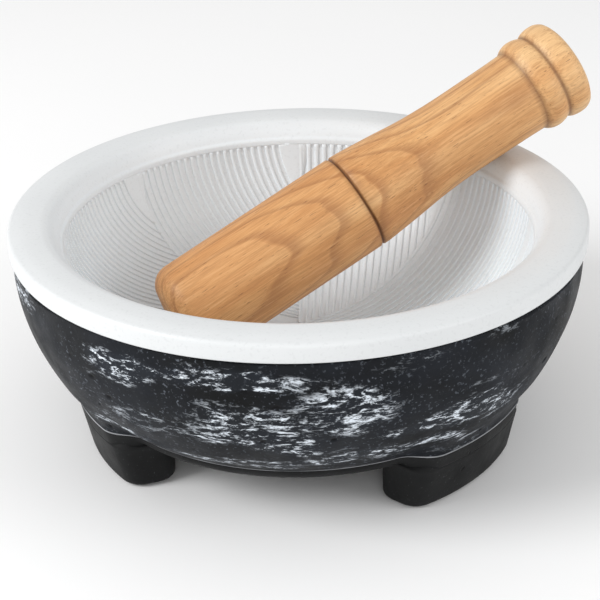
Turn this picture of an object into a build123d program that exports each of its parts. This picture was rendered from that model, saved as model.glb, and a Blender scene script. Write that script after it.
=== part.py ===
from build123d import *
import math
import os

# Footed mortar with a ribbed white liner and a turned wooden pestle leaning in it.
# Millimetres, +Z up. The origin is the point of the bowl's axis on the surface the feet stand on.
# The pestle leans toward +X and a little toward +Y.

# Heights above the surface that the object stands on
rim_top_z = 83.6
rim_height = 7.7
seat_gap = 0.2
seat_ring_thickness = 0.6
seam_z = 22.0
underside_z = 17.0
foot_bottom_z = 0.6

# Liner, all in the half section that is turned about Z
rim_radius = 101.5
rim_outer_round = 1.8
rim_lower_round = 0.8
rim_flat_inner_radius = 89.0
rim_inner_round = 5.0
bowl_depth = 58.5
bowl_floor_radius = 28.0
bowl_wall_arc = 55.0
rib_top_z = 73.9
rib_step_height = 0.7
rib_step_radius = 83.5
liner_wall = 3.2

# Outer bowl
body_radius = 100.0
body_arc_radius = 60.0
body_arc_z = 70.0
body_edge_round = 0.8
liner_clearance = 0.4
spigot_radius = 58.0
spigot_bottom_z = 19.4
glue_gap = 0.15

# Foot base
base_edge_width = 6.4

# Feet: wide blocks with an outer face concentric with the bowl
foot_count = 3
foot_heading = -39.3
foot_outer_radius = 77.7
foot_inner_distance = 56.5
foot_width = 55.4
foot_corner_radius = 8.5
foot_outer_lean = 14.0
foot_side_lean = 3.0
foot_top_z = 36.0
foot_edge_round = 2.0

# Anti-slip pads let into the feet
pad_margin = 5.0
pad_shift = 1.0
pad_corner_radius = 4.0
pad_recess = 1.2
pad_fit = 0.1

# Seat ring between the rim and the outer bowl
seat_ring_outer_radius = 99.4
seat_ring_inner_radius = 91.0

# Pestle, measured along its axis from the grinding end
grinding_end_radius = 18.7
grinding_end_round = 8.0
grinding_end_dome = 1.2
groove_at = 80.3
groove_width = 1.4
groove_depth = 1.1
shoulder_at = 97.5
shoulder_radius = 17.4
waist_at = 121.0
waist_radius = 15.6
neck_at = 155.6
neck_radius = 15.9
bead_at = 161.0
bead_radius = 18.0
cove_at = 165.0
cove_radius = 16.9
knob_at = 170.6
knob_radius = 18.6
pestle_length = 176.4
knob_face_radius = 14.5
knob_end_dome = 0.8

# Where the leaning pestle rests: the centre of its grinding end and the way its axis points
pestle_tip = (-46.39, -2.42, 39.58)
pestle_heading = 21.79
pestle_rise = 25.34

body_top_z = rim_top_z - rim_height - seat_gap - seat_ring_thickness
bowl_floor_z = rim_top_z - bowl_depth
wall_arc_z = bowl_floor_z + bowl_wall_arc


def turned(profile):
    """A solid of revolution from a closed half section drawn in X (radius) and Z (height)."""
    return revolve(make_face(profile), Axis.Z)


def point(radius, height):
    """A point of a half section."""
    return (radius, 0, height)


def arc_height(arc_radius, z):
    """Radius reached by the liner's wall arc, or one parallel to it, at height z."""
    return bowl_floor_radius + math.sqrt(arc_radius**2 - (z - wall_arc_z) ** 2)


def quarter(start, end, centre, radius):
    """A round edge from start to end, bulging away from its centre."""
    middle_x = (start[0] + end[0]) / 2 - centre[0]
    middle_z = (start[2] + end[2]) / 2 - centre[2]
    scale = radius / math.hypot(middle_x, middle_z)
    middle = point(centre[0] + middle_x * scale, centre[2] + middle_z * scale)
    return ThreePointArc(start, middle, end)


def bowl_arc(arc_radius, top_z):
    """The wall arc of the bowl from its flat floor up to top_z, at the given arc radius."""
    top = math.asin((top_z - wall_arc_z) / arc_radius)
    angle = (top - math.pi / 2) / 2
    start = point(bowl_floor_radius, wall_arc_z - arc_radius)
    middle = point(
        bowl_floor_radius + arc_radius * math.cos(angle),
        wall_arc_z + arc_radius * math.sin(angle),
    )
    return ThreePointArc(start, middle, point(arc_height(arc_radius, top_z), top_z))


def make_grinding_liner():
    """White inner bowl: a ribbed grinding wall under a wide flat rim that hangs over the body."""
    outer_arc = bowl_wall_arc + liner_wall
    under_z = rim_top_z - rim_height
    inner_fillet_z = rim_top_z - rim_inner_round
    inner_fillet_r = rim_flat_inner_radius - rim_inner_round
    inside = bowl_arc(bowl_wall_arc, rib_top_z)
    outside = bowl_arc(outer_arc, under_z)
    top_round = quarter(
        point(rim_radius - rim_outer_round, rim_top_z),
        point(rim_radius, rim_top_z - rim_outer_round),
        point(rim_radius - rim_outer_round, rim_top_z - rim_outer_round),
        rim_outer_round,
    )
    low_round = quarter(
        point(rim_radius, under_z + rim_lower_round),
        point(rim_radius - rim_lower_round, under_z),
        point(rim_radius - rim_lower_round, under_z + rim_lower_round),
        rim_lower_round,
    )
    inner_round = quarter(
        point(inner_fillet_r, inner_fillet_z),
        point(rim_flat_inner_radius, rim_top_z),
        point(rim_flat_inner_radius, inner_fillet_z),
        rim_inner_round,
    )
    section = [
        Line(point(0, bowl_floor_z), inside @ 0),
        inside,
        Line(inside @ 1, point(rib_step_radius, rib_top_z + rib_step_height)),
        Line(point(rib_step_radius, rib_top_z + rib_step_height), inner_round @ 0),
        inner_round,
        Line(inner_round @ 1, top_round @ 0),
        top_round,
        Line(top_round @ 1, low_round @ 0),
        low_round,
        Line(low_round @ 1, outside @ 1),
        outside,
        Line(outside @ 0, point(0, wall_arc_z - outer_arc)),
        Line(point(0, wall_arc_z - outer_arc), point(0, bowl_floor_z)),
    ]
    return turned(section)


def side_arc(top_z, bottom_z):
    """The rounded outer side of the body between two heights."""

    def on_side(z):
        reach = math.sqrt(body_arc_radius**2 - (z - body_arc_z) ** 2)
        return point(body_radius - body_arc_radius + reach, z)

    return ThreePointArc(on_side(top_z), on_side((top_z + bottom_z) / 2), on_side(bottom_z))


def foot_outline(z):
    """A foot's outline at height z, with its middle on +X."""
    outer = foot_outer_radius + z * math.tan(math.radians(foot_outer_lean))
    spread = z * math.tan(math.radians(foot_side_lean))
    inner = foot_inner_distance - spread
    strip = Rectangle(outer, foot_width + 2 * spread, align=(Align.MIN, Align.CENTER))
    shape = Circle(outer) & (Pos(inner, 0) * strip)
    return Pos(0, 0, z) * fillet(shape.vertices(), foot_corner_radius)


def foot_places():
    return [Rot(0, 0, foot_heading + 360 / foot_count * index) for index in range(foot_count)]


def make_foot_block(bottom_z, top_z):
    return loft([foot_outline(bottom_z), foot_outline(top_z)], ruled=True)


def make_outer_bowl():
    """Marbled outer bowl, thick walled, swelling into a shoulder over each foot."""
    side = side_arc(body_arc_z, seam_z)
    rim_edge = quarter(
        point(body_radius, body_top_z - body_edge_round),
        point(body_radius - body_edge_round, body_top_z),
        point(body_radius - body_edge_round, body_top_z - body_edge_round),
        body_edge_round,
    )
    section = [
        Line(point(0, seam_z), side @ 1),
        side,
        Line(side @ 0, rim_edge @ 0),
        rim_edge,
        Line(rim_edge @ 1, point(0, body_top_z)),
        Line(point(0, body_top_z), point(0, seam_z)),
    ]
    bowl = turned(section)
    for place in foot_places():
        bowl += place * make_foot_block(seam_z, foot_top_z)
    spigot_height = seam_z - spigot_bottom_z
    spigot = Cylinder(spigot_radius, spigot_height, align=(Align.CENTER, Align.CENTER, Align.MIN))
    bowl += Pos(0, 0, spigot_bottom_z) * spigot
    return bowl - make_cavity()


def make_cavity():
    """The hollow of the outer bowl that the liner hangs in."""
    arc_radius = bowl_wall_arc + liner_wall + liner_clearance
    wall = bowl_arc(arc_radius, body_top_z)
    section = [
        Line(point(0, wall_arc_z - arc_radius), wall @ 0),
        wall,
        Line(wall @ 1, point(0, body_top_z)),
        Line(point(0, body_top_z), point(0, wall_arc_z - arc_radius)),
    ]
    return turned(section)


def make_foot_base():
    """Plain dark base with three feet, glued under the outer bowl along the seam."""
    seam_radius = (side_arc(body_arc_z, seam_z) @ 1).X
    recess = spigot_radius + glue_gap
    flat_rim = point(seam_radius - base_edge_width, underside_z)
    edge = TangentArc(flat_rim, point(seam_radius, seam_z), tangent=(1, 0, 0))
    section = [
        Line(point(0, underside_z), edge @ 0),
        edge,
        Line(edge @ 1, point(recess, seam_z)),
        Line(point(recess, seam_z), point(recess, spigot_bottom_z)),
        Line(point(recess, spigot_bottom_z), point(0, spigot_bottom_z)),
        Line(point(0, spigot_bottom_z), point(0, underside_z)),
    ]
    base = turned(section)
    for place in foot_places():
        block = make_foot_block(foot_bottom_z, seam_z)
        block = fillet(block.faces().sort_by(Axis.Z)[0].edges(), foot_edge_round)
        base += place * block
        base -= place * make_pad_shape(foot_bottom_z + pad_recess, 0)
    recess_height = seam_z - spigot_bottom_z
    well = Cylinder(recess, recess_height, align=(Align.CENTER, Align.CENTER, Align.MIN))
    return base - Pos(0, 0, spigot_bottom_z) * well


def make_pad_shape(height, inset):
    """A pad standing on the ground under one foot, inset all round."""
    length = foot_outer_radius - foot_inner_distance - 2 * pad_margin - 2 * inset
    width = foot_width - 2 * pad_margin - 2 * inset
    middle = (foot_outer_radius + foot_inner_distance) / 2 - pad_shift
    outline = Pos(middle, 0) * RectangleRounded(length, width, pad_corner_radius - inset)
    return extrude(outline, height)


def make_foot_pads():
    shape = make_pad_shape(foot_bottom_z + pad_recess, pad_fit)
    return [place * shape for place in foot_places()]


def make_seat_ring():
    """Thin dark ring that the liner's rim sits on."""
    outline = Circle(seat_ring_outer_radius) - Circle(seat_ring_inner_radius)
    return Pos(0, 0, body_top_z) * extrude(outline, seat_ring_thickness)


def dome(rim_radius, rim_z, crown_z):
    """Half section of a shallow spherical cap, from its rim to its crown on the axis."""
    sag = crown_z - rim_z
    ball = (rim_radius**2 + sag**2) / (2 * sag)
    half = math.atan2(rim_radius, abs(ball - sag)) / 2
    middle = point(abs(ball) * math.sin(half), crown_z - ball + ball * math.cos(half))
    return ThreePointArc(point(rim_radius, rim_z), middle, point(0, crown_z))


def make_pestle():
    """Turned from one piece of wood: plain grinding end, scribed groove, waist, bead and knob."""
    end_flat = grinding_end_radius - grinding_end_round
    end_round = quarter(
        point(end_flat, grinding_end_dome),
        point(grinding_end_radius, grinding_end_dome + grinding_end_round),
        point(end_flat, grinding_end_dome + grinding_end_round),
        grinding_end_round,
    )
    groove_low = point(grinding_end_radius, groove_at - groove_width / 2)
    groove_mid = point(grinding_end_radius - groove_depth, groove_at)
    groove_high = point(grinding_end_radius, groove_at + groove_width / 2)
    shoulder = TangentArc(groove_high, point(shoulder_radius, shoulder_at), tangent=(0, 0, 1))
    taper = TangentArc(shoulder @ 1, point(waist_radius, waist_at), tangent=shoulder % 1)
    neck = TangentArc(taper @ 1, point(neck_radius, neck_at), tangent=taper % 1)
    cove = point(cove_radius, cove_at)
    bead = ThreePointArc(neck @ 1, point(bead_radius, bead_at), cove)
    knob_low = TangentArc(point(knob_radius, knob_at), cove, tangent=(0, 0, -1))
    knob_rim = point(knob_face_radius, pestle_length - knob_end_dome)
    knob_high = TangentArc(point(knob_radius, knob_at), knob_rim, tangent=(0, 0, 1))
    section = [
        dome(end_flat, grinding_end_dome, 0),
        end_round,
        Line(end_round @ 1, groove_low),
        Line(groove_low, groove_mid),
        Line(groove_mid, groove_high),
        shoulder,
        taper,
        neck,
        bead,
        knob_low,
        knob_high,
        dome(knob_face_radius, pestle_length - knob_end_dome, pestle_length),
        Line(point(0, pestle_length), point(0, 0)),
    ]
    upright = turned(section)
    lean = Rot(0, 0, pestle_heading) * Rot(0, 90 - pestle_rise, 0)
    return Pos(*pestle_tip) * lean * upright


def main():
    parts = {
        "outer_bowl": make_outer_bowl(),
        "foot_base": make_foot_base(),
        "seat_ring": make_seat_ring(),
        "grinding_liner": make_grinding_liner(),
        "pestle": make_pestle(),
    }
    for name, pad in zip(("right", "back", "left"), make_foot_pads()):
        parts[f"foot_pad_{name}"] = pad
    os.makedirs("parts", exist_ok=True)
    for name, shape in parts.items():
        export_step(shape, f"parts/{name}.step")


main()
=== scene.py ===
import math
import random
import bpy
import numpy as np
from mathutils import Matrix, Vector

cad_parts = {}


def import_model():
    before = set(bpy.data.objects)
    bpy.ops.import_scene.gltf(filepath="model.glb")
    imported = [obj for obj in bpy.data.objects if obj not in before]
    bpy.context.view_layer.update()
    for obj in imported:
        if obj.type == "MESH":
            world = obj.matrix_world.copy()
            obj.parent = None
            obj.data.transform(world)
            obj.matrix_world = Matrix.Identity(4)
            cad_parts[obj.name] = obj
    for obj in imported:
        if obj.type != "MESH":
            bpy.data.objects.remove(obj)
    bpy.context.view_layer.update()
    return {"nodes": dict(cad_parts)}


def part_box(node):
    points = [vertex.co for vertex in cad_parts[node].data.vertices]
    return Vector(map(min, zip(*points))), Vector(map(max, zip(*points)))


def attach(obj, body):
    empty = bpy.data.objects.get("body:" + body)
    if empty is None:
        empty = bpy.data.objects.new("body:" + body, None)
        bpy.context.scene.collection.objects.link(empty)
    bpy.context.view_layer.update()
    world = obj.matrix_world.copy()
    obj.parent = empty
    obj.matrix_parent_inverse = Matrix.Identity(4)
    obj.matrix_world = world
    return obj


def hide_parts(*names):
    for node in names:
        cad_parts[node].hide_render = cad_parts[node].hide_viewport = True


# Footed mortar: a white ribbed liner in a dark marbled bowl, and a turned beech pestle leaning in it.
# Lengths are in millimetres and are turned into metres as each mesh is made.
# +Z is up, and the camera looks along +Y.
MM = 0.001

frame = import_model()


def top_of(node):
    """Height of a CAD node's highest point."""
    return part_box(node)[1].z / MM


def radius_of(node):
    """Radius of a CAD node turned about Z."""
    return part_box(node)[1].x / MM


# Turned shapes start this far from the axis, and a fan of faces closes the rest
axis_gap = 0.6

# Liner: the turned half section, whose wall arc is centred over the edge of the flat floor
rim_top = top_of("grinding_liner")
rim_inset = 0.03
rim_radius = radius_of("grinding_liner") - rim_inset
rim_height = 7.7
rim_outer_round = 1.8
rim_lower_round = 0.8
rim_inner_edge = 89.0
rim_crown = 0.75
floor_z = rim_top - 58.5
floor_radius = 28.0
wall_arc = 55.0
wall_arc_z = floor_z + wall_arc
liner_wall = 3.2
ledge_z = 76.6
ledge_radius = 83.05
upper_wall_knots = (
    (83.35, 76.7), (83.6, 77.3), (84.9, 80.0), (86.3, 81.85), (87.6, 82.75), (88.7, 83.12),
)

# Ribs: bundles of parallel ridges between combed grooves
bundle_starts = (137.4, 88.8, 44.5, 0, -45, -91, -134, -177)
bundle_sweeps = (18, -1, -14, 4, 12, 18, 22, 24)
bundle_gap = 4.0
rib_angles = (1.95, 2.15, 2.02, 2.0, 2.0, 2.0, 2.0, 1.85)
rib_fan = 0.3
groove_width = 1.45
groove_depth = 0.6
rib_sink = 0.03
rib_foot = 1.1
rib_top_z = 74.2
rib_start_z = 74.7
groove_end_z = rib_top_z - 0.5
longest_rib = 150.0
shortest_rib = 1.5
centre_radius = 24.0
rib_row = 2.4

# Outer bowl and base
body_top = top_of("outer_bowl")
body_radius = 100.0
body_arc = 60.0
body_arc_z = 70.0
body_edge_round = 0.8
cavity_arc = 58.6
cavity_edge_break = 0.5
spigot_radius = 58.0
spigot_bottom = 19.4
seam_z = top_of("foot_base")
seam_rows = ((0.0, -0.1), (0.1, 0.12), (0.3, 0.25), (0.5, 0.15), (0.6, -0.08))
seam_set_back = 0.12
glue_gap = 0.15
underside_z = 17.0
base_edge_width = 6.4
foot_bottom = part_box("foot_base")[0].z / MM
foot_heading = -40.5
foot_outer = 78.2
foot_inner = 55.8
foot_half_width = 28.6
foot_corner = 7.5
foot_outer_lean = 12.0
foot_side_lean = 0.5
foot_edge_round = 1.8
foot_flare = 0.03
foot_flare_rise = 4.0
foot_sunk_rings = ((0.3, 0.6), (1.5, 1.0))
shoulder_blend = 11.0
seam_blend = 4.5
seam_blend_rise = 12.0
foot_blend = 1.2
pit_count = 90
pit_side_radius = 92

# Marbling: how much the streaks are flattened, and the middle and reach of each patch on the front
streak_flatness = 3.0
marble_clusters = (
    ((-56, -80, 68), (22, 30, 6)),
    ((-20, -96, 68), (32, 30, 6)),
    ((-12, -90, 48), (28, 30, 13)),
    ((14, -96, 58), (24, 30, 11)),
    ((52, -76, 44), (34, 34, 7)),
    ((26, -76, 32), (46, 34, 5)),
    ((-18, -76, 28), (32, 34, 5)),
    ((-64, -46, 30), (26, 26, 4)),
)

# Pestle: knots are (distance from the grinding end, radius), the two ends' points (radius, distance),
# and crease lines of painted shade (distance, width, darkness). The heart is where the tree's middle
# runs beside it.
pestle_tip = Vector((-46.39, -2.42, 39.58))
pestle_heading = math.radians(21.79)
pestle_rise = math.radians(25.34)
pestle_length = 176.4
grip_radius = 18.7
end_points = ((0.4, 0.0), (5.0, 0.2), (9.0, 0.8))
end_round = 8.0
end_crown = 1.2
groove_at = 80.3
groove_shape = (
    (-0.9, 0.0), (-0.6, 0.25), (-0.2, 0.95), (0.0, 1.1), (0.2, 0.95), (0.6, 0.25), (0.9, 0.0),
)
handle_knots = (
    (84, 18.62), (97.5, 17.4), (109, 16.2), (121, 15.6), (138, 15.6), (150, 15.75), (155.0, 15.9),
)
bead_knots = (
    (155.6, 16.0), (157.0, 17.1), (159.0, 17.85), (161.0, 18.0), (163.2, 17.6), (164.8, 16.95),
)
knob_knots = (
    (165.3, 16.95), (166.6, 17.8), (168.6, 18.35), (170.6, 18.48), (172.8, 18.1), (174.4, 17.0),
    (175.4, 15.2),
)
cap_points = ((13.6, 175.85), (10.0, 176.1), (5.0, 176.3), (0.4, 176.35))
crease_shade_lines = ((80.3, 0.75, 0.95), (155.6, 0.9, 0.6), (165.1, 0.8, 0.75))
ring_spacing = 4.6
heart_offset = (52.0, 6.0, 0.0)
heart_slant = -0.10

# Camera: where it stands from the middle of the rim, and how it points
camera_distance = 609.0
camera_elevation = math.radians(23.63)
camera_look_down = math.radians(26.74)
camera_roll = math.radians(-1.33)
camera_lens = 103.8


# ---------------------------------------------------------------- mesh helpers

def add_piece(name, points, faces, materials, body, nodes):
    """A smooth-shaded mesh piece that stands for CAD nodes and rides on a body."""
    mesh = bpy.data.meshes.new(name)
    mesh.from_pydata([tuple(float(c) * MM for c in p) for p in points], [], faces)
    mesh.validate()
    mesh.shade_smooth()
    for material in materials:
        mesh.materials.append(material)
    piece = bpy.data.objects.new(name, mesh)
    bpy.context.scene.collection.objects.link(piece)
    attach(piece, body)
    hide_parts(*nodes)
    return piece


def arc(centre, radius, start, end, steps):
    """Points of a half section along an arc, angles in degrees from +X toward +Z."""
    angles = np.radians(np.linspace(start, end, steps + 1))
    return [(centre[0] + radius * math.cos(a), centre[1] + radius * math.sin(a)) for a in angles]


def ring_faces(rows, columns):
    """Quads between rings of points that each close on themselves."""
    faces = []
    for row in range(rows - 1):
        low, high = row * columns, (row + 1) * columns
        for i in range(columns):
            j = (i + 1) % columns
            faces.append((low + i, low + j, high + j, high + i))
    return faces


def capped(points, rows, columns):
    """Faces of a closed body of revolution whose first and last rings are shut by a fan."""
    faces = ring_faces(rows, columns)
    first, last = len(points), len(points) + 1
    points.append(np.mean(points[:columns], axis=0))
    points.append(np.mean(points[(rows - 1) * columns:rows * columns], axis=0))
    for i in range(columns):
        j = (i + 1) % columns
        faces.append((first, j, i))
        faces.append((last, (rows - 1) * columns + i, (rows - 1) * columns + j))
    return faces


def lathe(section, columns):
    """Points and faces of a half section turned about Z, open ends closed on the axis."""
    turn = np.linspace(0, 2 * math.pi, columns, endpoint=False)
    points = [np.array((r * math.cos(a), r * math.sin(a), z)) for r, z in section for a in turn]
    return points, capped(points, len(section), columns)


# ---------------------------------------------------------------- material helpers

class Shader:
    """Builds one node material; a socket in inputs is linked, anything else is set."""

    def __init__(self, name):
        self.material = bpy.data.materials.new(name)
        self.material.use_nodes = True
        self.tree = self.material.node_tree
        self.surface = self.tree.nodes["Principled BSDF"]
        self.coordinates = self.node("ShaderNodeTexCoord").outputs["Object"]

    def node(self, kind, settings=None, **inputs):
        """A new node; i0, i1 and so on name its inputs by number."""
        made = self.tree.nodes.new(kind)
        for key, value in (settings or {}).items():
            setattr(made, key, value)
        self.fill(made, inputs)
        return made

    def fill(self, node, inputs):
        for key, value in inputs.items():
            number = key.startswith("i") and key[1:].isdigit()
            socket = node.inputs[int(key[1:]) if number else key.replace("_", " ")]
            if isinstance(value, bpy.types.NodeSocket):
                self.tree.links.new(value, socket)
            else:
                socket.default_value = value

    def finish(self, **inputs):
        self.fill(self.surface, inputs)
        return self.material

    def place(self, source=None, scale=(1, 1, 1), location=(0, 0, 0)):
        """The source point, or the object's own, scaled and then moved."""
        source = source or self.coordinates
        return self.node("ShaderNodeMapping", Vector=source, Location=location, Scale=scale).outputs[0]

    def local(self, source, origin, size, turn=(0, 0, 0)):
        """The source point measured from an origin in millimetres, in units of size."""
        return self.node(
            "ShaderNodeMapping", {"vector_type": "TEXTURE"}, Vector=source,
            Location=Vector(origin) * MM, Rotation=turn, Scale=Vector(size) * MM,
        ).outputs[0]

    def noise(self, source, scale, detail=4.0, roughness=0.5):
        return self.node(
            "ShaderNodeTexNoise", Vector=source, Scale=scale, Detail=detail, Roughness=roughness
        ).outputs["Fac"]

    def ridge(self, source, scale, detail, roughness):
        """How far a noise is from its middle: nought along winding lines."""
        middle = self.maths("SUBTRACT", self.noise(source, scale, detail, roughness), 0.5)
        return self.maths("ABSOLUTE", middle)

    def length(self, source):
        made = self.node("ShaderNodeVectorMath", {"operation": "LENGTH"}, i0=source)
        return made.outputs["Value"]

    def warp(self, source, scale, amount, detail=2.0):
        """The source point pushed about by a soft noise."""
        made = self.node("ShaderNodeTexNoise", Vector=source, Scale=scale, Detail=detail)
        centred = self.node(
            "ShaderNodeVectorMath", {"operation": "SUBTRACT"},
            i0=made.outputs["Color"], i1=(0.5, 0.5, 0.5),
        )
        pushed = self.node(
            "ShaderNodeVectorMath", {"operation": "SCALE"}, i0=centred.outputs[0], Scale=amount
        )
        return self.node(
            "ShaderNodeVectorMath", {"operation": "ADD"}, i0=source, i1=pushed.outputs[0]
        ).outputs[0]

    def ramp(self, source, *stops, smooth=False):
        """A colour ramp; each stop is a place and a grey level or a colour."""
        made = self.node("ShaderNodeValToRGB", Fac=source)
        if smooth:
            made.color_ramp.interpolation = "EASE"
        elements = made.color_ramp.elements
        while len(elements) < len(stops):
            elements.new(0.5)
        for element, (place, colour) in zip(elements, stops):
            element.position = place
            grey = isinstance(colour, (int, float))
            element.color = (colour,) * 3 + (1,) if grey else (*colour, 1)
        return made.outputs["Color"]

    def maths(self, operation, a, b=0.0, c=0.0):
        return self.node("ShaderNodeMath", {"operation": operation}, i0=a, i1=b, i2=c).outputs[0]

    def mix(self, amount, a, b, blend="MIX"):
        """Two colours mixed, each a socket or three numbers."""
        made = self.node("ShaderNodeMix", {"data_type": "RGBA", "blend_type": blend})
        self.fill(made, {"i0": amount})
        for index, value in ((6, a), (7, b)):
            if isinstance(value, bpy.types.NodeSocket):
                self.tree.links.new(value, made.inputs[index])
            else:
                made.inputs[index].default_value = (*value, 1)
        return made.outputs[2]

    def bump(self, height, distance, strength=1.0, normal=None):
        """Relief from a height between nought and one, as deep as the distance in millimetres."""
        made = self.node("ShaderNodeBump", Height=height, Distance=distance * MM, Strength=strength)
        if normal:
            self.fill(made, {"Normal": normal})
        return made.outputs[0]

    def split(self, source):
        return self.node("ShaderNodeSeparateXYZ", Vector=source).outputs

    def attribute(self, name):
        return self.node("ShaderNodeAttribute", {"attribute_name": name}).outputs["Fac"]


def ceramic_material():
    """Satin white glaze with a faint mottle, and painted shade making the rim greyer than inside."""
    s = Shader("satin_white_ceramic")
    cloud = s.noise(s.coordinates, 22, detail=3)
    speck = s.noise(s.coordinates, 900, detail=1)
    # The rim gets a greyer copy of the glaze than the inside: painted shade, as the glaze itself is one
    # white.
    base = s.ramp(cloud, (0.3, (0.675, 0.692, 0.70)), (0.7, (0.705, 0.72, 0.725)))
    inner = s.ramp(cloud, (0.3, (0.800, 0.842, 0.868)), (0.7, (0.825, 0.862, 0.888)))
    across = 1 / (rim_radius * MM)
    radius = s.length(s.place(scale=(across, across, 0)))
    toned = s.mix(s.ramp(radius, (0.835, 0.0), (0.87, 1.0)), inner, base)
    dust = s.ramp(speck, (0.30, 0.95), (0.42, 1.0))
    colour = s.mix(1.0, toned, dust, "MULTIPLY")
    rough = s.ramp(s.noise(s.coordinates, 60, detail=4), (0.3, 0.34), (0.7, 0.44))
    normal = s.bump(s.noise(s.coordinates, 420, detail=3), 0.05, 0.25)
    return s.finish(Base_Color=colour, Roughness=rough, Normal=normal, IOR=1.5)


def clusters(s, source):
    """Where the marbling gathers: patches on the front, and drifts of it elsewhere."""
    total = 0.0
    for centre, size in marble_clusters:
        away = s.length(s.local(source, centre, size))
        total = s.maths("MAXIMUM", total, s.maths("SUBTRACT", 1.0, away))
    drift = s.ramp(s.noise(s.place(source, scale=(1, 1, 3)), 13, detail=3), (0.52, 0.0), (0.68, 0.8))
    behind = s.ramp(s.maths("MULTIPLY_ADD", s.split(source)[1], 5.0, 0.5), (0.25, 0.25), (0.5, 1.0))
    return s.maths("MAXIMUM", total, s.maths("MULTIPLY", drift, behind))


def marble_streaks(s, level, bent):
    """Torn pale streaks, from a point squashed in height and the same point bent about."""
    vein = s.ramp(s.ridge(bent, 34, 9, 0.66), (0.010, 1.0), (0.028, 0.0))
    fine = s.ramp(s.ridge(s.warp(level, 60, 0.012), 85, 7, 0.62), (0.010, 0.9), (0.030, 0.0))
    torn = s.ramp(s.noise(bent, 70, detail=9, roughness=0.76), (0.59, 0.0), (0.63, 1.0))
    flake = s.ramp(s.noise(bent, 150, detail=6, roughness=0.72), (0.475, 0.0), (0.555, 1.0))
    drawn = s.maths("MAXIMUM", s.maths("MAXIMUM", vein, fine), torn)
    return s.maths("MULTIPLY", drawn, flake)


def marble_patches(s, bent):
    """The patches where the stone is streaked, with ragged edges."""
    gathered = clusters(s, s.warp(s.coordinates, 30, 0.022))
    ragged = s.maths("MULTIPLY_ADD", s.noise(bent, 30, detail=8, roughness=0.65), 1.5, -0.75)
    return s.ramp(s.maths("ADD", gathered, ragged), (0.14, 0.0), (0.42, 1.0))


def marble_material():
    """Charcoal stone with torn pale streaks that lie mostly level, fine specks, and painted shade in the
    pits.
    """
    s = Shader("marbled_charcoal_stone")
    level = s.place(scale=(1.0, 1.0, streak_flatness))
    bent = s.warp(level, 28, 0.022, detail=3)
    where = marble_patches(s, bent)
    streak = s.maths("MULTIPLY", marble_streaks(s, level, bent), where)
    blue = s.noise(s.place(scale=(1, 1, 1.6)), 24, detail=6, roughness=0.65)
    ground = s.ramp(blue, (0.35, (0.0022, 0.0026, 0.003)), (0.7, (0.010, 0.0125, 0.018)))
    milky = s.mix(s.maths("MULTIPLY", where, 0.18), ground, (0.035, 0.043, 0.058))
    veined = s.mix(streak, milky, (0.76, 0.82, 0.89))
    speck = s.ramp(s.noise(s.coordinates, 780, detail=3, roughness=0.6), (0.59, 0.0), (0.67, 0.9))
    sown = s.ramp(s.noise(s.coordinates, 30, detail=2), (0.40, 0.15), (0.62, 1.0))
    dotted = s.mix(s.maths("MULTIPLY", speck, sown), veined, (0.12, 0.135, 0.16))
    # Painted shade in and just around the small pits.
    pit_shaded = s.mix(s.attribute("pit"), dotted, (0.003, 0.003, 0.004))
    # Painted highlight: a broken grey line on the seam bead where its edge catches the light.
    seam_highlight_noise = s.noise(s.coordinates, 70, detail=3)
    seam_highlight_grey = s.ramp(seam_highlight_noise, (0.3, (0.15, 0.155, 0.165)), (0.7, (0.42, 0.43, 0.45)))
    colour = s.mix(s.attribute("seam"), pit_shaded, seam_highlight_grey)
    rough = s.ramp(s.noise(s.coordinates, 90, detail=5), (0.3, 0.42), (0.7, 0.62))
    normal = s.bump(s.noise(s.coordinates, 380, detail=5, roughness=0.6), 0.16, 0.5)
    return s.finish(Base_Color=colour, Roughness=rough, Normal=normal, Specular_IOR_Level=0.14)


def plain_stone_material():
    """The same stone mix without the streaks, on the feet and the underside."""
    s = Shader("plain_charcoal_stone")
    cloud = s.noise(s.coordinates, 60, detail=6)
    ground = s.ramp(cloud, (0.3, (0.005, 0.0052, 0.0055)), (0.75, (0.013, 0.0135, 0.014)))
    grain = s.ramp(s.noise(s.coordinates, 1300, detail=2), (0.66, 0.0), (0.76, 0.3))
    dotted = s.mix(grain, ground, (0.12, 0.125, 0.13))
    holes = s.node("ShaderNodeTexVoronoi", {"feature": "F1"}, Vector=s.coordinates, Scale=150.0)
    hole = s.ramp(holes.outputs["Distance"], (0.10, 1.0), (0.17, 0.0))
    rare = s.ramp(s.noise(s.coordinates, 55, detail=1), (0.58, 0.0), (0.62, 1.0))
    pit = s.maths("MULTIPLY", hole, rare)
    # Painted shade blackens the pits, which the bump also sinks.
    colour = s.mix(pit, dotted, (0.003, 0.003, 0.003))
    rough = s.ramp(s.noise(s.coordinates, 80, detail=5), (0.3, 0.45), (0.7, 0.65))
    fine = s.bump(s.noise(s.coordinates, 420, detail=5, roughness=0.6), 0.2, 0.6)
    normal = s.bump(s.maths("SUBTRACT", 1.0, pit), 0.8, 0.8, normal=fine)
    return s.finish(Base_Color=colour, Roughness=rough, Normal=normal, Specular_IOR_Level=0.18)


def rubber_material(name, low, high):
    """Matte moulded rubber with a little bloom."""
    s = Shader(name)
    bloom = s.noise(s.coordinates, 120, detail=4)
    colour = s.ramp(bloom, (0.35, low), (0.7, high))
    rough = s.ramp(bloom, (0.3, 0.6), (0.7, 0.8))
    normal = s.bump(s.noise(s.coordinates, 900, detail=2), 0.05, 0.4)
    return s.finish(Base_Color=colour, Roughness=rough, Normal=normal)


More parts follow.
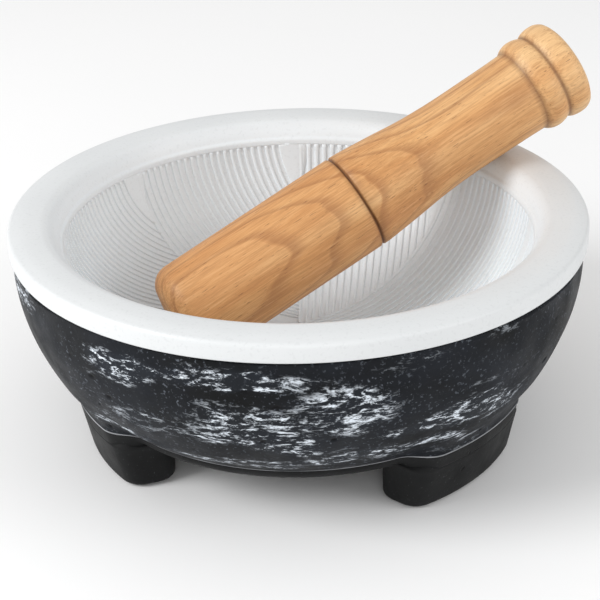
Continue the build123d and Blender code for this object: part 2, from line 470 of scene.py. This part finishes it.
def growth_rings(s, grain, along):
    """Distance from the tree's heart counted in rings; the heart runs at a slant beside the pestle."""
    drift = s.warp(s.place(grain, scale=(1, 1, 0.16)), 0.045, 9.0, detail=2)
    x, y, _ = s.split(s.place(drift, location=heart_offset))
    lean = s.maths("MULTIPLY_ADD", along, heart_slant, x)
    bow = s.maths("SINE", s.maths("MULTIPLY", along, 0.045))
    bowed = s.maths("MULTIPLY_ADD", bow, 3.0, lean)
    squares = s.maths("ADD", s.maths("POWER", bowed, 2.0), s.maths("POWER", y, 2.0))
    return s.maths("DIVIDE", s.maths("SQRT", squares), ring_spacing)


def wood_tones(s, grain, up, rings):
    """Tan wood with painted light making it lighter toward the knob, a shade different in each ring,
    with dark late wood.
    """
    late = s.ramp(
        s.maths("FRACT", rings), (0.0, 0.10), (0.60, 0.0), (0.93, 1.0), (1.0, 0.25), smooth=True
    )
    year = s.node("ShaderNodeTexWhiteNoise", {"noise_dimensions": "1D"}, W=s.maths("FLOOR", rings))
    tone = s.noise(s.place(grain, scale=(1, 1, 0.08)), 0.12, detail=4)
    centred = s.maths("SUBTRACT", tone, 0.065)
    toned = s.maths("MULTIPLY_ADD", year.outputs["Value"], 0.13, centred)
    # Painted light: the wood lightens toward the knob end.
    handle = s.ramp(up, (0.35, 0.0), (0.85, 0.26), (1.0, 0.52))
    light = s.ramp(
        s.maths("ADD", toned, handle),
        (0.25, (0.50, 0.205, 0.066)),
        (0.5, (0.61, 0.29, 0.10)),
        (0.72, (0.71, 0.385, 0.155)),
        (0.95, (0.82, 0.52, 0.25)),
    )
    calm = s.ramp(up, (0.84, 0.5), (0.90, 0.18))
    return s.mix(s.maths("MULTIPLY", late, calm), light, (0.30, 0.115, 0.035))


def wood_material():
    """Oiled beech: growth rings cut lengthwise, fine pores along the grain and short ray flecks."""
    s = Shader("oiled_turned_beech")
    grain = s.local(s.coordinates, pestle_tip, (1, 1, 1), pestle_frame().to_euler())
    along = s.split(grain)[2]
    up = s.maths("DIVIDE", along, pestle_length)
    ringed = wood_tones(s, grain, up, growth_rings(s, grain, along))
    fibre = s.noise(s.place(grain, scale=(1, 1, 0.045)), 1.5, detail=6, roughness=0.72)
    streaked = s.mix(s.ramp(fibre, (0.44, 0.0), (0.70, 0.55)), ringed, (0.30, 0.12, 0.038))
    pale = s.mix(s.ramp(fibre, (0.30, 0.35), (0.46, 0.0)), streaked, (0.78, 0.50, 0.25))
    pores = s.noise(s.place(grain, scale=(1, 1, 0.10)), 2.2, detail=2)
    flecked = s.mix(s.ramp(pores, (0.66, 0.0), (0.73, 0.7)), pale, (0.16, 0.055, 0.017))
    # Painted shade darkens the wood in the groove and where the bead and knob meet the handle.
    colour = s.mix(s.attribute("crease_shade"), flecked, (0.13, 0.045, 0.012))
    rough = s.ramp(fibre, (0.3, 0.42), (0.7, 0.60))
    return s.finish(Base_Color=colour, Roughness=rough, Normal=s.bump(fibre, 0.12, 0.5))


# ---------------------------------------------------------------- grinding liner

def on_wall(x, y, depth=0.0):
    """The point a given depth behind the crest surface, over a plan position."""
    radius = math.hypot(x, y)
    out = min(max(radius - floor_radius, 0.0), wall_arc - 0.01)
    return behind_wall(Vector((x, y, wall_arc_z - math.sqrt(wall_arc**2 - out**2))), depth)


def behind_wall(point, depth):
    """Pushes a point near the wall to a given depth behind the crest surface."""
    radius = math.hypot(point.x, point.y)
    if radius < floor_radius:
        return Vector((point.x, point.y, floor_z - depth))
    out, up = radius - floor_radius, point.z - wall_arc_z
    grown = (wall_arc + depth) / math.hypot(out, up)
    scale = (floor_radius + out * grown) / radius
    return Vector((point.x * scale, point.y * scale, wall_arc_z + up * grown))


def liner_section():
    """Half section of the liner, with its wall cut back to the bottom of the grooves."""
    low = wall_arc + groove_depth
    groove_end = math.degrees(math.asin((groove_end_z - wall_arc_z) / low))
    crest = math.degrees(math.asin((rib_top_z - wall_arc_z) / wall_arc))
    centre = (floor_radius, wall_arc_z)
    under = rim_top - rim_height
    outer = wall_arc + liner_wall
    outer_end = math.degrees(math.asin((under - wall_arc_z) / outer))
    edge = rim_radius - rim_outer_round
    middle = (rim_inner_edge + edge) / 2
    crown = []
    for t in np.linspace(-0.9, 0.95, 16):
        drop = rim_crown if t > 0 else rim_crown * 0.35
        crown.append((middle + t * (edge - middle), rim_top - drop * abs(t) ** 2.2))
    return (
        [(r, floor_z - rib_sink) for r in (axis_gap, 8, 16, centre_radius - 0.6)]
        + [(centre_radius, floor_z - groove_depth)]
        + arc(centre, low, -90, groove_end, 46)
        + arc(centre, wall_arc, crest, crest + 1.5, 3)
        + upper_wall()
        + crown
        + arc((edge, rim_top - rim_outer_round - rim_crown), rim_outer_round, 75, 0, 7)
        + arc((rim_radius - rim_lower_round, under + rim_lower_round), rim_lower_round, 0, -90, 5)
        + arc(centre, outer, outer_end, -90, 30)
        + [(r, floor_z - liner_wall) for r in (18, 8, axis_gap)]
    )


def upper_wall():
    """From the faint line where the ribs end, up the flared wall and over the rim's inner edge."""
    return [(ledge_radius, ledge_z)] + [(r, z) for z, r in smooth_line(upper_wall_knots, 16)]


bundle_count = len(bundle_starts)
rib_top_radius = floor_radius + math.sqrt(wall_arc**2 - (rib_start_z - wall_arc_z) ** 2)


def bundle_ribs(k):
    """How many ribs fit before the smooth wedge that ends a bundle."""
    sector = (bundle_starts[k] - bundle_starts[(k + 1) % bundle_count]) % 360
    return int((sector - bundle_gap) / rib_angles[k]) + 1


def rib_line(k, i):
    """Plan start and direction of rib i of bundle k; the ribs of a bundle fan out a little."""
    k = k % bundle_count
    azimuth = bundle_starts[k]
    heading = math.radians(azimuth + 180 + bundle_sweeps[k] - rib_fan * i * rib_angles[k])
    start = math.radians(azimuth - i * rib_angles[k])
    return (
        Vector((rib_top_radius * math.cos(start), rib_top_radius * math.sin(start))),
        Vector((math.cos(heading), math.sin(heading))),
    )


def side_of(line, point):
    """How far a plan point lies to the clockwise side of a line seen from the rim."""
    start, way = line
    away = point - start
    return away.y * way.x - away.x * way.y


def crossing(line, other):
    """Distances along two plan lines to the point where they meet."""
    (a, u), (b, v) = line, other
    turn = u.x * v.y - u.y * v.x
    if abs(turn) < 1e-6:
        return math.inf, math.inf
    gap = b - a
    return (gap.x * v.y - gap.y * v.x) / turn, (gap.x * u.y - gap.y * u.x) / turn


def centre_entry(line):
    """Distance along a line to the smooth round in the middle of the floor."""
    start, way = line
    near = -start.dot(way)
    missed = start.dot(start) - near**2
    inside = centre_radius**2 - missed
    return near - math.sqrt(inside) if inside > 0 else math.inf


def rib_length(k, i, first_lengths):
    """A rib runs to the middle round, or to the first rib of a bundle further round."""
    line = rib_line(k, i)
    length = min(centre_entry(line), longest_rib)
    for step in (1, 2, 3):
        here, there = crossing(line, rib_line(k + step, 0))
        if here > 0 and 0 < there < first_lengths[(k + step) % bundle_count] + 1:
            length = min(length, here)
    return length


def first_rib_lengths():
    """How far the first rib of each bundle runs."""
    lengths = []
    for k in range(bundle_count):
        here, there = crossing(rib_line(k, 0), rib_line(k + 1, 0))
        stop = here if here > 0 and there > 0 else longest_rib
        lengths.append(min(centre_entry(rib_line(k, 0)), stop))
    return lengths


def rib_rows(line, length):
    """Plan points along a rib, closer together where the wall is steep."""
    start, way = line
    rows, along = [], 0.0
    while along < length - 0.4:
        rows.append(start + way * along)
        slope = max(rows[-1].length - floor_radius, 0) / wall_arc
        along += rib_row * max(math.sqrt(1 - min(slope, 0.998) ** 2), 0.1)
    rows.append(start + way * length)
    return rows


rib_profile = ((-1.0, 1.0), (-1.0, 0.36), (-0.8, 0.1), (-0.4, 0.0), (0.0, 0.0))


def add_rib(points, faces, rows, before, after):
    """A closed ridge along plan points; before and after are the lines its two edges keep clear of."""
    shape = rib_profile + tuple((-u, d) for u, d in reversed(rib_profile[:-1]))
    columns = len(shape)
    start = len(points)
    for index, place in enumerate(rows):
        here = on_wall(place.x, place.y)
        ahead, behind = rows[min(index + 1, len(rows) - 1)], rows[max(index - 1, 0)]
        along = (on_wall(ahead.x, ahead.y) - on_wall(behind.x, behind.y)).normalized()
        normal = (here - on_wall(place.x, place.y, 1.0)).normalized()
        across = normal.cross(along)
        slope = math.hypot(normal.x, normal.y)
        plan = math.hypot(along.x, along.y)
        stretch = plan / math.sqrt(max(1 - slope**2, 1e-4))
        for u, depth in shape:
            space, groove = (before if u < 0 else after)(place)
            width = space * stretch - groove / 2
            spot = here + across * (u * max(width, 0.25))
            spot.z = min(spot.z, rib_start_z)
            points.append(np.array(behind_wall(spot, rib_sink + depth * rib_foot)))
    rows_made = len(rows)
    for row in range(rows_made - 1):
        low, high = start + row * columns, start + (row + 1) * columns
        for i in range(columns):
            j = (i + 1) % columns
            faces.append((low + i, high + i, high + j, low + j))
    faces.append(tuple(start + i for i in range(columns)))
    faces.append(tuple(start + (rows_made - 1) * columns + i for i in reversed(range(columns))))


def make_liner(material):
    """The turned liner with all its ribs."""
    points, faces = lathe(liner_section(), 288)
    first_lengths = first_rib_lengths()
    for k in range(bundle_count):
        for i in range(bundle_ribs(k)):
            line = rib_line(k, i)
            length = rib_length(k, i, first_lengths)
            if length < shortest_rib:
                continue
            rows = rib_rows(line, length)
            earlier, later = rib_line(k, i - 1), rib_line(k, i + 1)
            last = i == bundle_ribs(k) - 1
            closing = rib_line(k + 1, 0)

            def before(place):
                return abs(side_of(earlier, place)) / 2, groove_width

            def after(place):
                if last:
                    return abs(side_of(closing, place)), 0.0
                return abs(side_of(later, place)) / 2, groove_width

            add_rib(points, faces, rows, before, after)
    return add_piece(
        "ribbed_liner", points, faces, [material], "liner", ["grinding_liner"]
    )


# ---------------------------------------------------------------- outer bowl and base

def body_reach(z):
    """Radius of the bowl's side at a height, without its feet."""
    out = np.minimum(z - body_arc_z, 0)
    return body_radius - body_arc + np.sqrt(body_arc**2 - out**2)


def foot_distance(radius, turn, z):
    """Plan distance outside the nearest foot, for points given by radius and heading."""
    spread = 2 * math.pi / 3
    beside = np.abs((turn - math.radians(foot_heading) + spread / 2) % spread - spread / 2)
    outward = radius - foot_outer - z * math.tan(math.radians(foot_outer_lean)) + foot_corner
    half = foot_half_width + z * math.tan(math.radians(foot_side_lean))
    sideways = radius * np.sin(beside) - half + foot_corner
    rounded = np.hypot(np.maximum(outward, 0), np.maximum(sideways, 0))
    return rounded + np.minimum(np.maximum(outward, sideways), 0) - foot_corner


def reach(turn, z, body, blend):
    """Radius of the bowl's side with the feet's shoulders blended in, found by halving."""
    low = np.full(turn.shape, 50.0)
    high = np.full(turn.shape, body_radius + 1.0)
    for _ in range(24):
        middle = (low + high) / 2
        out_body, out_foot = middle - body, foot_distance(middle, turn, z)
        share = np.clip(0.5 + 0.5 * (out_body - out_foot) / blend, 0, 1)
        out = out_body + (out_foot - out_body) * share - blend * share * (1 - share)
        low, high = np.where(out < 0, middle, low), np.where(out < 0, high, middle)
    return (low + high) / 2


def side_blend(z):
    """The shoulders melt into the side more and more softly above the seam."""
    return seam_blend + (shoulder_blend - seam_blend) * min((z - seam_z) / seam_blend_rise, 1)


def ring_points(radii, turn, z):
    """Points around Z at one height, a radius for each heading."""
    return [np.array((r * math.cos(a), r * math.sin(a), z)) for r, a in zip(radii, turn)]


def pit_field(turn, heights):
    """Depth of the small air pits over the side, and how much painted shade each point gets from one."""
    luck = random.Random(11)
    t, z = np.meshgrid(turn, heights)
    depth = np.zeros_like(t)
    shade = np.zeros_like(t)
    for _ in range(pit_count):
        at, up = luck.uniform(0, 2 * math.pi), luck.uniform(seam_z + 3, body_top - 1)
        size = 0.45 + 0.9 * luck.random() ** 3
        squash = luck.uniform(0.7, 1.6)
        around = (t - at + math.pi) % (2 * math.pi) - math.pi
        away = np.hypot(around * pit_side_radius / squash, (z - up) * 1.2) / size
        inside = np.clip(1 - away, 0, 1)
        depth = np.maximum(depth, inside**0.6 * size * 0.7)
        shade = np.maximum(shade, np.clip((1.15 - away) * 3, 0, 1))
    return depth, shade


def make_outer_bowl(material):
    """The marbled bowl: spigot, seam bead, side with pits, rim edge and cavity, from the bottom up."""
    columns = 720
    turn = np.linspace(0, 2 * math.pi, columns, endpoint=False)
    heights = np.linspace(seam_z + 1.0, body_top - body_edge_round, 80)
    depth, shade = pit_field(turn, heights)
    rings, pit_shades, seams = [], [], []

    def add(radii, z, pit=None, seam=0.0):
        rings.append((np.broadcast_to(np.asarray(radii, float), turn.shape), z))
        pit_shades.append(np.zeros(columns) if pit is None else pit)
        seams.append(np.full(columns, seam))

    add(axis_gap, spigot_bottom)
    add(spigot_radius, spigot_bottom)
    add(spigot_radius, seam_z)
    # The seam bead's proud rows are marked for the painted highlight.
    for rise, proud in seam_rows:
        z = seam_z + rise
        add(reach(turn, z, body_reach(z), side_blend(z)) + proud, z, seam=float(proud > 0))
    for row, z in enumerate(heights):
        add(reach(turn, z, body_reach(z), side_blend(z)) - depth[row], z, shade[row])
    edge = (body_radius - body_edge_round, body_top - body_edge_round)
    for r, z in arc(edge, body_edge_round, 20, 90, 4):
        add(r, z)
    cavity_top = floor_radius + math.sqrt(cavity_arc**2 - (body_top - wall_arc_z) ** 2)
    add(cavity_top + cavity_edge_break, body_top)
    end = math.degrees(math.asin((body_top - wall_arc_z) / cavity_arc))
    for r, z in arc((floor_radius, wall_arc_z), cavity_arc, end, -90, 18):
        add(r, z)
    add(axis_gap, wall_arc_z - cavity_arc)
    points = [p for radii, z in rings for p in ring_points(radii, turn, z)]
    faces = capped(points, len(rings), columns)
    piece = add_piece(
        "marbled_bowl", points, faces, [material], "base", ["outer_bowl"]
    )
    write_attribute(piece, "pit", np.concatenate(pit_shades + [np.zeros(2)]))
    write_attribute(piece, "seam", np.concatenate(seams + [np.zeros(2)]))
    return piece


def write_attribute(piece, name, values):
    """A number for each point of a mesh, for its material to read."""
    held = piece.data.attributes.new(name, "FLOAT", "POINT")
    held.data.foreach_set("value", np.asarray(values, np.float32))


def foot_ring(z, inset, flare):
    """Outline of one foot, middle on +X, at a height; flare widens its sides and inner face only."""
    outer = foot_outer + z * math.tan(math.radians(foot_outer_lean)) - inset
    spread = z * math.tan(math.radians(foot_side_lean))
    half = foot_half_width + spread - inset
    inner = foot_inner - spread + inset
    corner = foot_corner - inset * 0.6
    far_x = math.sqrt((outer - corner) ** 2 - (half - corner) ** 2)
    tilt = math.degrees(math.atan2(half - corner, far_x))
    quarter = arc((far_x, half - corner), corner, tilt, 90, 8)
    near = arc((inner + corner, half - corner), corner, 90, 180, 8)
    side = [(far_x + (inner + corner - far_x) * t, half) for t in (0.25, 0.5, 0.75)]
    upper = [(x, y, flare * min(i / 8, 1)) for i, (x, y) in enumerate(quarter + side + near)]
    lower = [(x, -y, w) for x, y, w in reversed(upper)]
    front = [(x, y, 0) for x, y in arc((0, 0), outer, -tilt, tilt, 17)]
    inner_line = [(inner, (half - corner) * t, flare) for t in (0.6, 0.2, -0.2, -0.6)]
    outline = front[1:-1] + upper + inner_line + lower
    middle_x = (outer + inner) / 2
    grown = []
    for x, y, w in outline:
        away = Vector((x - middle_x, y)).normalized()
        grown.append((x + away.x * w, y + away.y * w))
    return grown


def make_base(material):
    """The plate under the seam, with a recess for the bowl's spigot, and the three feet."""
    columns = 480
    turn = np.linspace(0, 2 * math.pi, columns, endpoint=False)
    seam_radius = float(body_reach(seam_z))
    recess = spigot_radius + glue_gap
    top = (axis_gap, spigot_bottom), (recess, spigot_bottom), (recess, seam_z), (seam_radius - 3, seam_z)
    rings = [(np.full(columns, r), z) for r, z in top]
    height = seam_z - underside_z
    for t in np.linspace(0, 1, 12):
        z = seam_z - t * height
        plate = seam_radius - base_edge_width * (1 - math.sqrt(max(1 - t**2.4, 0)))
        blend = seam_blend + (foot_blend - seam_blend) * t**0.7
        rings.append((reach(turn, z, plate, blend) - seam_set_back * (t == 0), z))
    rings.append((np.full(columns, 40.0), underside_z))
    rings.append((np.full(columns, axis_gap), underside_z))
    points = [p for radii, z in rings for p in ring_points(radii, turn, z)]
    faces = capped(points, len(rings), columns)
    for index in range(3):
        add_foot(points, faces, math.radians(foot_heading + 120 * index))
    return add_piece("footed_base", points, faces, [material], "base", ["foot_base"])


def add_foot(points, faces, heading):
    """A closed foot with a rounded bottom edge, its top sunk in the plate."""
    rows = []
    for a in np.radians(np.linspace(0, 90, 7)):
        z = foot_bottom + foot_edge_round * (1 - math.cos(a))
        rows.append((z, foot_edge_round * (1 - math.sin(a)), 0.0))
    for z in np.linspace(foot_bottom + foot_edge_round + 1.5, underside_z - 0.1, 14):
        lift = max(z - (underside_z - foot_flare_rise), 0)
        rows.append((z, 0.0, foot_flare * lift**2))
    for rise, inset in foot_sunk_rings:
        rows.append((underside_z + rise, inset, 0.0))
    start = len(points)
    columns = 0
    for z, inset, flare in rows:
        outline = foot_ring(z, inset, flare)
        columns = len(outline)
        for x, y in outline:
            points.append(np.array((
                x * math.cos(heading) - y * math.sin(heading),
                x * math.sin(heading) + y * math.cos(heading),
                z,
            )))
    faces.extend(tuple(start + v for v in face) for face in ring_faces(len(rows), columns))
    faces.append(tuple(start + i for i in reversed(range(columns))))
    last = start + (len(rows) - 1) * columns
    faces.append(tuple(last + i for i in range(columns)))


# ---------------------------------------------------------------- pestle

def pestle_section():
    """Radius and how much painted shade each point gets in the creases, along the pestle from its
    grinding end.
    """
    rounded = arc((grip_radius - end_round, end_round + end_crown), end_round, -90, 0, 12)
    end = list(end_points) + rounded[1:]
    plain = [(grip_radius, s) for s in np.linspace(12, 78, 34)]
    groove = [(grip_radius - sunk, groove_at + s) for s, sunk in groove_shape]
    handle = smooth_line(handle_knots, 44)
    bead = smooth_line(bead_knots, 14)
    knob = smooth_line(knob_knots, 16)
    points = end + plain + groove + handle + bead + knob + list(cap_points)
    crease_shades = []
    for _, s in points:
        dark = [weight * math.exp(-((s - at) / width) ** 2) for at, width, weight in crease_shade_lines]
        crease_shades.append(max(dark))
    return points, crease_shades


def smooth_line(knots, steps):
    """A smooth curve through (distance, radius) knots, as (radius, distance) points."""
    s = np.array([k[0] for k in knots], float)
    r = np.array([k[1] for k in knots], float)
    slope = np.gradient(r, s)
    made = []
    for at in np.linspace(s[0], s[-1], steps):
        i = min(int(np.searchsorted(s, at, side="right")) - 1, len(s) - 2)
        i = max(i, 0)
        span = s[i + 1] - s[i]
        t = (at - s[i]) / span
        value = (
            (2 * t**3 - 3 * t**2 + 1) * r[i] + (t**3 - 2 * t**2 + t) * span * slope[i]
            + (3 * t**2 - 2 * t**3) * r[i + 1] + (t**3 - t**2) * span * slope[i + 1]
        )
        made.append((float(value), float(at)))
    return made


def pestle_frame():
    """Rotation whose Z runs along the pestle from its grinding end and whose X points to the front."""
    along = Vector((
        math.cos(pestle_rise) * math.cos(pestle_heading),
        math.cos(pestle_rise) * math.sin(pestle_heading),
        math.sin(pestle_rise),
    ))
    toward = camera_position() - pestle_tip
    across = (toward - along * toward.dot(along)).normalized()
    return Matrix((across, along.cross(across), along)).transposed()


def make_pestle(material):
    """The turned pestle, its points placed where it leans so that the piece itself is not rotated."""
    section, crease_shades = pestle_section()
    columns = 160
    points, faces = lathe(section, columns)
    turn = pestle_frame()
    points = [turn @ Vector(p) + pestle_tip for p in points]
    piece = add_piece("turned_pestle", points, faces, [material], "pestle", ["pestle"])
    write_attribute(piece, "crease_shade", np.append(np.repeat(crease_shades, columns), (0, 0)))
    return piece


# ---------------------------------------------------------------- CAD nodes that stay

def finish_cad_nodes():
    """Rubber for the seat ring and the foot pads, which stay as CAD made them. The seat ring's
    near-black rubber also stands in for the shadow line under the rim.
    """
    # Near-black seat ring: a rubber ring that also paints the shadow line under the liner's rim.
    ring = rubber_material("seat_ring_rubber_and_shade", (0.004, 0.004, 0.004), (0.010, 0.010, 0.011))
    pads = rubber_material("foot_pad_rubber", (0.012, 0.012, 0.012), (0.030, 0.030, 0.031))
    names = {"seat_ring": ring, "foot_pad_right": pads, "foot_pad_back": pads, "foot_pad_left": pads}
    for name, material in names.items():
        mesh = frame["nodes"][name].data
        mesh.materials.clear()
        mesh.materials.append(material)


# ---------------------------------------------------------------- stage

def camera_position():
    """Where the camera stands."""
    reach_out = math.cos(camera_elevation) * camera_distance
    return Vector((0, -reach_out, rim_top + math.sin(camera_elevation) * camera_distance))


def make_camera():
    """The photograph's view."""
    data = bpy.data.cameras.new("camera")
    data.lens = camera_lens
    data.sensor_width = 36.0
    data.clip_start = 0.01
    camera = bpy.data.objects.new("camera", data)
    bpy.context.scene.collection.objects.link(camera)
    turn = Matrix.Rotation(math.pi / 2 - camera_look_down, 4, "X") @ Matrix.Rotation(camera_roll, 4, "Z")
    camera.matrix_world = Matrix.Translation(camera_position() * MM) @ turn
    bpy.context.scene.camera = camera


def make_floor():
    """A wide pale floor under the feet."""
    size = 3.0
    mesh = bpy.data.meshes.new("floor")
    corners = [(-size, -size, 0), (size, -size, 0), (size, size, 0), (-size, size, 0)]
    mesh.from_pydata(corners, [], [(0, 1, 2, 3)])
    s = Shader("pale_floor")
    colour = s.ramp(s.noise(s.coordinates, 3, detail=2), (0.3, 0.955), (0.7, 0.97))
    mesh.materials.append(s.finish(Base_Color=colour, Roughness=0.7))
    floor = bpy.data.objects.new("floor", mesh)
    bpy.context.scene.collection.objects.link(floor)


def add_light(name, place, size, power):
    """A round area light in metres and watts, aimed at the middle of the bowl."""
    data = bpy.data.lights.new(name, "AREA")
    data.shape = "DISK"
    data.size = size
    data.energy = power
    light = bpy.data.objects.new(name, data)
    bpy.context.scene.collection.objects.link(light)
    place = Vector(place)
    light.location = place
    aim = Vector((0, 0, rim_top * MM / 2)) - place
    light.rotation_euler = aim.to_track_quat("-Z", "Y").to_euler()


def make_lights():
    """An even white studio with a key light from the left."""
    world = bpy.data.worlds.new("studio")
    world.use_nodes = True
    world.node_tree.nodes["Background"].inputs["Color"].default_value = (1, 1, 1, 1)
    world.node_tree.nodes["Background"].inputs["Strength"].default_value = 0.68
    bpy.context.scene.world = world
    add_light("key", (-1.1, -0.45, 0.85), 0.7, 12)
    add_light("right", (1.3, -0.6, 0.75), 0.9, 5)
    add_light("front", (0.1, -1.5, 0.8), 0.9, 2.8)


make_camera()
make_liner(ceramic_material())
make_outer_bowl(marble_material())
make_base(plain_stone_material())
make_pestle(wood_material())
finish_cad_nodes()
make_floor()
make_lights()
bpy.context.scene.view_settings.view_transform = "Standard"
